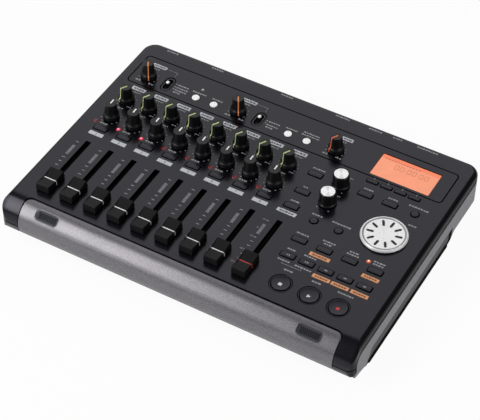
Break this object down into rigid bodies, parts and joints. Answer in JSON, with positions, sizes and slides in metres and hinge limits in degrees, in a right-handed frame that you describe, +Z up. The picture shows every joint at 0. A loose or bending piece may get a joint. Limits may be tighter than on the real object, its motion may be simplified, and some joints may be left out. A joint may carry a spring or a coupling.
{
  "type": "digital multitrack recorder",
  "caption": "Flat desktop recorder with channel faders, rows of knobs, a data wheel, press keys, a lit display, a rounded front bar with microphones and rear sockets.",
  "frame": {"origin": "on the table, below the centre of the part's plan box", "axes": "+X to the user's right, +Y to the rear where the sockets are, +Z up"},
  "size_m": [0.29, 0.2164, 0.0498],
  "materials": {
    "cover_plastic": "fine moulded grain, satin",
    "base_plastic": "fine moulded grain, satin",
    "bar_paint": "silver-grey metallic paint",
    "grille_metal": "black painted mesh",
    "window": "clear window over a lit orange display",
    "board": "green circuit board",
    "pot_metal": "plain plated steel",
    "jack_plastic": "black moulded plastic",
    "jack_metal": "plated barrels",
    "foot_rubber": "black rubber",
    "screw_steel": "blackened steel",
    "lens": "clear red",
    "wheel_plastic": "silver-white spun finish",
    "white_plastic": "white",
    "control_plastic": "soft black"
  },
  "bodies": {
    "case": {"top_cover": "cover_plastic", "bottom_cover": "base_plastic", "front_bar": "bar_paint", "mic_grilles": "grille_metal", "display_window": "window", "lcd_module": "board", "main_board": "board", "slide_pots": "pot_metal", "rotary_pots": "pot_metal", "combo_jacks": "jack_plastic", "phone_jacks": "jack_plastic", "line_jacks": "jack_metal", "dc_jack": "jack_plastic", "rubber_feet": "foot_rubber", "case_screws": "screw_steel", "indicator_lenses": "lens"},
    "fader_1": {"fader_1": "control_plastic"},
    "fader_2": {"fader_2": "control_plastic"},
    "fader_3": {"fader_3": "control_plastic"},
    "fader_4": {"fader_4": "control_plastic"},
    "fader_5": {"fader_5": "control_plastic"},
    "fader_6": {"fader_6": "control_plastic"},
    "fader_7": {"fader_7": "control_plastic"},
    "fader_8": {"fader_8": "control_plastic"},
    "master_fader": {"master_fader": "control_plastic"},
    "pan_1": {"pan_1": "control_plastic"},
    "pan_2": {"pan_2": "control_plastic"},
    "pan_3": {"pan_3": "control_plastic"},
    "pan_4": {"pan_4": "control_plastic"},
    "pan_5": {"pan_5": "control_plastic"},
    "pan_6": {"pan_6": "control_plastic"},
    "pan_7": {"pan_7": "control_plastic"},
    "pan_8": {"pan_8": "control_plastic"},
    "level_1": {"level_1": "control_plastic"},
    "level_2": {"level_2": "control_plastic"},
    "level_3": {"level_3": "control_plastic"},
    "level_4": {"level_4": "control_plastic"},
    "level_5": {"level_5": "control_plastic"},
    "level_6": {"level_6": "control_plastic"},
    "level_7": {"level_7": "control_plastic"},
    "level_8": {"level_8": "control_plastic"},
    "trim_a": {"trim_a": "control_plastic"},
    "trim_b": {"trim_b": "control_plastic"},
    "phones_knob": {"phones_knob": "control_plastic"},
    "tone_high": {"tone_high": "control_plastic"},
    "tone_low": {"tone_low": "control_plastic"},
    "data_wheel": {"data_wheel": "wheel_plastic"},
    "switch_lever_a": {"switch_lever_a": "white_plastic"},
    "switch_lever_b": {"switch_lever_b": "white_plastic"},
    "stop_key": {"stop_key": "control_plastic"},
    "play_key": {"play_key": "control_plastic"},
    "record_key": {"record_key": "control_plastic"},
    "track_arm_keys": {"track_arm_keys": "control_plastic"},
    "display_keys": {"display_keys": "control_plastic"},
    "input_keys": {"input_keys": "white_plastic"},
    "mixer_keys": {"mixer_keys": "control_plastic"},
    "tuner_keys": {"tuner_keys": "control_plastic"},
    "locate_keys": {"locate_keys": "control_plastic"},
    "search_keys": {"search_keys": "control_plastic"},
    "standby_key": {"standby_key": "control_plastic"}
  },
  "joints": [
    {"name": "fader_1_slide", "type": "slide", "parent": "case", "child": "fader_1", "axis": [0, 1, 0], "range_m": [0, 0.046]},
    {"name": "fader_2_slide", "type": "slide", "parent": "case", "child": "fader_2", "axis": [0, 1, 0], "range_m": [0, 0.046]},
    {"name": "fader_3_slide", "type": "slide", "parent": "case", "child": "fader_3", "axis": [0, 1, 0], "range_m": [0, 0.046]},
    {"name": "fader_4_slide", "type": "slide", "parent": "case", "child": "fader_4", "axis": [0, 1, 0], "range_m": [0, 0.046]},
    {"name": "fader_5_slide", "type": "slide", "parent": "case", "child": "fader_5", "axis": [0, 1, 0], "range_m": [0, 0.046]},
    {"name": "fader_6_slide", "type": "slide", "parent": "case", "child": "fader_6", "axis": [0, 1, 0], "range_m": [0, 0.046]},
    {"name": "fader_7_slide", "type": "slide", "parent": "case", "child": "fader_7", "axis": [0, 1, 0], "range_m": [0, 0.046]},
    {"name": "fader_8_slide", "type": "slide", "parent": "case", "child": "fader_8", "axis": [0, 1, 0], "range_m": [0, 0.046]},
    {"name": "master_fader_slide", "type": "slide", "parent": "case", "child": "master_fader", "axis": [0, 1, 0], "range_m": [0, 0.046]},
    {"name": "pan_1_turn", "type": "hinge", "parent": "case", "child": "pan_1", "pos_m": [-0.1226, 0.00875, 0.0355], "axis": [0, 0, 1], "range_deg": [-150, 150]},
    {"name": "pan_2_turn", "type": "hinge", "parent": "case", "child": "pan_2", "pos_m": [-0.10235, 0.00875, 0.0355], "axis": [0, 0, 1], "range_deg": [-150, 150]},
    {"name": "pan_3_turn", "type": "hinge", "parent": "case", "child": "pan_3", "pos_m": [-0.0821, 0.00875, 0.0355], "axis": [0, 0, 1], "range_deg": [-150, 150]},
    {"name": "pan_4_turn", "type": "hinge", "parent": "case", "child": "pan_4", "pos_m": [-0.06185, 0.00875, 0.0355], "axis": [0, 0, 1], "range_deg": [-150, 150]},
    {"name": "pan_5_turn", "type": "hinge", "parent": "case", "child": "pan_5", "pos_m": [-0.0416, 0.00875, 0.0355], "axis": [0, 0, 1], "range_deg": [-150, 150]},
    {"name": "pan_6_turn", "type": "hinge", "parent": "case", "child": "pan_6", "pos_m": [-0.02135, 0.00875, 0.0355], "axis": [0, 0, 1], "range_deg": [-150, 150]},
    {"name": "pan_7_turn", "type": "hinge", "parent": "case", "child": "pan_7", "pos_m": [-0.0011, 0.00875, 0.0355], "axis": [0, 0, 1], "range_deg": [-150, 150]},
    {"name": "pan_8_turn", "type": "hinge", "parent": "case", "child": "pan_8", "pos_m": [0.01915, 0.00875, 0.0355], "axis": [0, 0, 1], "range_deg": [-150, 150]},
    {"name": "level_1_turn", "type": "hinge", "parent": "case", "child": "level_1", "pos_m": [-0.1226, 0.03035, 0.0355], "axis": [0, 0, 1], "range_deg": [-300, 0]},
    {"name": "level_2_turn", "type": "hinge", "parent": "case", "child": "level_2", "pos_m": [-0.10235, 0.03035, 0.0355], "axis": [0, 0, 1], "range_deg": [-300, 0]},
    {"name": "level_3_turn", "type": "hinge", "parent": "case", "child": "level_3", "pos_m": [-0.0821, 0.03035, 0.0355], "axis": [0, 0, 1], "range_deg": [-300, 0]},
    {"name": "level_4_turn", "type": "hinge", "parent": "case", "child": "level_4", "pos_m": [-0.06185, 0.03035, 0.0355], "axis": [0, 0, 1], "range_deg": [-300, 0]},
    {"name": "level_5_turn", "type": "hinge", "parent": "case", "child": "level_5", "pos_m": [-0.0416, 0.03035, 0.0355], "axis": [0, 0, 1], "range_deg": [-300, 0]},
    {"name": "level_6_turn", "type": "hinge", "parent": "case", "child": "level_6", "pos_m": [-0.02135, 0.03035, 0.0355], "axis": [0, 0, 1], "range_deg": [-300, 0]},
    {"name": "level_7_turn", "type": "hinge", "parent": "case", "child": "level_7", "pos_m": [-0.0011, 0.03035, 0.0355], "axis": [0, 0, 1], "range_deg": [-300, 0]},
    {"name": "level_8_turn", "type": "hinge", "parent": "case", "child": "level_8", "pos_m": [0.01915, 0.03035, 0.0355], "axis": [0, 0, 1], "range_deg": [-300, 0]},
    {"name": "trim_a_turn", "type": "hinge", "parent": "case", "child": "trim_a", "pos_m": [-0.1225, 0.06235, 0.0355], "axis": [0, 0, 1], "range_deg": [0, 300]},
    {"name": "trim_b_turn", "type": "hinge", "parent": "case", "child": "trim_b", "pos_m": [-0.042, 0.06235, 0.0355], "axis": [0, 0, 1], "range_deg": [0, 300]},
    {"name": "phones_knob_turn", "type": "hinge", "parent": "case", "child": "phones_knob", "pos_m": [0.0422, 0.06235, 0.0355], "axis": [0, 0, 1], "range_deg": [-300, 0]},
    {"name": "tone_high_turn", "type": "hinge", "parent": "case", "child": "tone_high", "pos_m": [0.0623, 0.03135, 0.0355], "axis": [0, 0, 1], "range_deg": [-150, 150]},
    {"name": "tone_low_turn", "type": "hinge", "parent": "case", "child": "tone_low", "pos_m": [0.0623, 0.01065, 0.0355], "axis": [0, 0, 1], "range_deg": [-150, 150]},
    {"name": "data_wheel_turn", "type": "hinge", "parent": "case", "child": "data_wheel", "pos_m": [0.1129, 0.00135, 0.0355], "axis": [0, 0, 1], "continuous": true},
    {"name": "switch_lever_a_slide", "type": "slide", "parent": "case", "child": "switch_lever_a", "axis": [0, 1, 0], "range_m": [-0.0026, 0.0026]},
    {"name": "switch_lever_b_slide", "type": "slide", "parent": "case", "child": "switch_lever_b", "axis": [0, 1, 0], "range_m": [-0.0026, 0]},
    {"name": "stop_key_slide", "type": "slide", "parent": "case", "child": "stop_key", "axis": [0, 0, 1], "range_m": [-0.0005, 0], "stiffness_N_per_m": 800},
    {"name": "play_key_slide", "type": "slide", "parent": "case", "child": "play_key", "axis": [0, 0, 1], "range_m": [-0.0005, 0], "stiffness_N_per_m": 800},
    {"name": "record_key_slide", "type": "slide", "parent": "case", "child": "record_key", "axis": [0, 0, 1], "range_m": [-0.0005, 0], "stiffness_N_per_m": 800},
    {"name": "track_arm_keys_slide", "type": "slide", "parent": "case", "child": "track_arm_keys", "axis": [0, 0, 1], "range_m": [-0.0005, 0], "stiffness_N_per_m": 800},
    {"name": "display_keys_slide", "type": "slide", "parent": "case", "child": "display_keys", "axis": [0, 0, 1], "range_m": [-0.0005, 0], "stiffness_N_per_m": 800},
    {"name": "input_keys_slide", "type": "slide", "parent": "case", "child": "input_keys", "axis": [0, 0, 1], "range_m": [-0.0005, 0], "stiffness_N_per_m": 800},
    {"name": "mixer_keys_slide", "type": "slide", "parent": "case", "child": "mixer_keys", "axis": [0, 0, 1], "range_m": [-0.0005, 0], "stiffness_N_per_m": 800},
    {"name": "tuner_keys_slide", "type": "slide", "parent": "case", "child": "tuner_keys", "axis": [0, 0, 1], "range_m": [-0.0005, 0], "stiffness_N_per_m": 800},
    {"name": "locate_keys_slide", "type": "slide", "parent": "case", "child": "locate_keys", "axis": [0, 0, 1], "range_m": [-0.0005, 0], "stiffness_N_per_m": 800},
    {"name": "search_keys_slide", "type": "slide", "parent": "case", "child": "search_keys", "axis": [0, 0, 1], "range_m": [-0.0005, 0], "stiffness_N_per_m": 800},
    {"name": "standby_key_slide", "type": "slide", "parent": "case", "child": "standby_key", "axis": [0, 1, 0], "range_m": [-0.0012, 0], "stiffness_N_per_m": 800}
  ]
}
